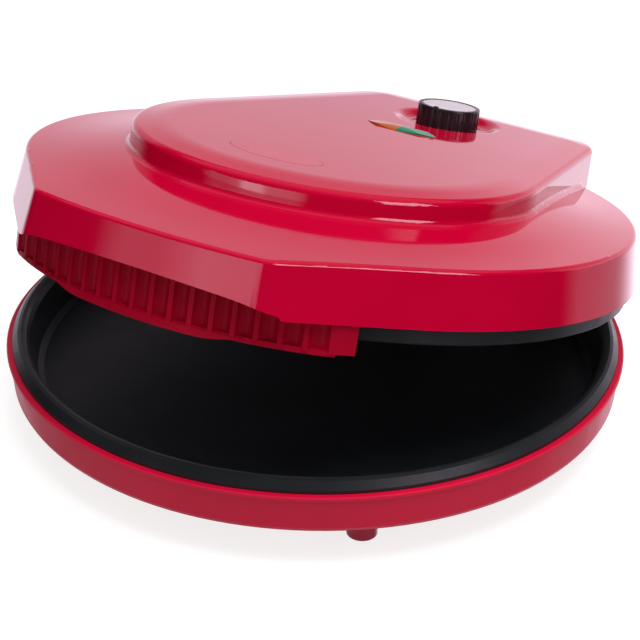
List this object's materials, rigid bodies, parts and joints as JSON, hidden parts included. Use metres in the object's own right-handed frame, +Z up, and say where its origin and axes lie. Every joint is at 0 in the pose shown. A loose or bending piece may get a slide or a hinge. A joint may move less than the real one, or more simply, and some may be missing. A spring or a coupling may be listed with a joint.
{
  "type": "electric pizza maker",
  "caption": "Round tabletop pizza oven with a hinged heated lid, a dark non-stick baking pan, a ribbed front grip, a temperature knob and signal windows on its top.",
  "frame": {"origin": "on the table plane under the middle of the bounding box, between the feet", "axes": "+X right seen from the front, +Y from the front grip towards the hinge at the back, +Z up"},
  "size_m": [0.336, 0.358, 0.1708],
  "materials": {
    "red_lid": "high gloss moulded red",
    "red_grip": "gloss dark red",
    "red_base": "satin gloss red",
    "red_foot": "satin gloss red",
    "foot_rubber": "matte",
    "screw_steel": "zinc plated",
    "nonstick": "dark grey non-stick coating, satin",
    "reflector_steel": "bright sheet",
    "heater_sheath": "dark oxidised sheath",
    "post_steel": "zinc plated",
    "ceramic_block": "glazed",
    "brass_parts": "bright",
    "lead_live": "silicone sleeve, brown",
    "lead_neutral": "silicone sleeve, blue",
    "lead_upper": "glass fibre sleeve, pale",
    "gland_black": "matte",
    "hinge_plastic": "satin red",
    "hinge_steel": "zinc plated",
    "lens_amber": "translucent amber",
    "lens_green": "translucent green",
    "holder_white": "matte",
    "lamp_glass": "clear",
    "phenolic": "matte brown-black",
    "copper_bulb": "dull copper",
    "badge_red": "gloss",
    "knob_black": "satin black",
    "knob_disc": "brushed"
  },
  "bodies": {
    "base": {"base_bowl": "red_base", "feet": "red_foot", "foot_pads": "foot_rubber", "foot_screws": "screw_steel", "baking_pan": "nonstick", "pan_posts": "post_steel", "pan_screws": "screw_steel", "lower_reflector": "reflector_steel", "lower_heater": "heater_sheath", "lower_heater_clips": "post_steel", "terminal_block": "ceramic_block", "terminal_screws": "brass_parts", "thermal_fuse": "brass_parts", "base_lead_live": "lead_live", "base_lead_neutral": "lead_neutral", "cord_gland": "gland_black", "hinge_bracket_left": "hinge_plastic", "hinge_bracket_right": "hinge_plastic", "hinge_bracket_screws": "screw_steel", "hinge_pin_left": "hinge_steel", "hinge_pin_right": "hinge_steel", "hinge_washers": "hinge_steel"},
    "lid": {"lid_shell": "red_lid", "grip_panel": "red_grip", "grip_screws": "screw_steel", "upper_plate": "nonstick", "upper_plate_screws": "screw_steel", "upper_posts": "post_steel", "upper_post_screws": "screw_steel", "upper_reflector": "reflector_steel", "upper_heater": "heater_sheath", "upper_heater_clips": "post_steel", "hinge_arm_left": "hinge_steel", "hinge_arm_right": "hinge_steel", "hinge_arm_screws": "screw_steel", "lens_amber": "lens_amber", "lens_green": "lens_green", "lamp_holder": "holder_white", "signal_lamps": "lamp_glass", "thermostat_body": "phenolic", "thermostat_screws": "screw_steel", "thermostat_bulb": "copper_bulb", "bulb_clips": "post_steel", "upper_lead_a": "lead_upper", "upper_lead_b": "lead_upper", "badge": "badge_red"},
    "knob": {"knob_body": "knob_black", "knob_disc": "knob_disc", "knob_spindle": "brass_parts"}
  },
  "joints": [
    {"name": "lid_hinge", "type": "hinge", "parent": "base", "child": "lid", "pos_m": [0, 0.167, 0.0436], "axis": [-1, 0, 0], "range_deg": [-13.4, 81.6]},
    {"name": "knob_turn", "type": "hinge", "parent": "lid", "child": "knob", "pos_m": [0, 0.12666, 0.11592], "axis": [0, 0.2317, 0.9728], "range_deg": [-135, 135]}
  ]
}
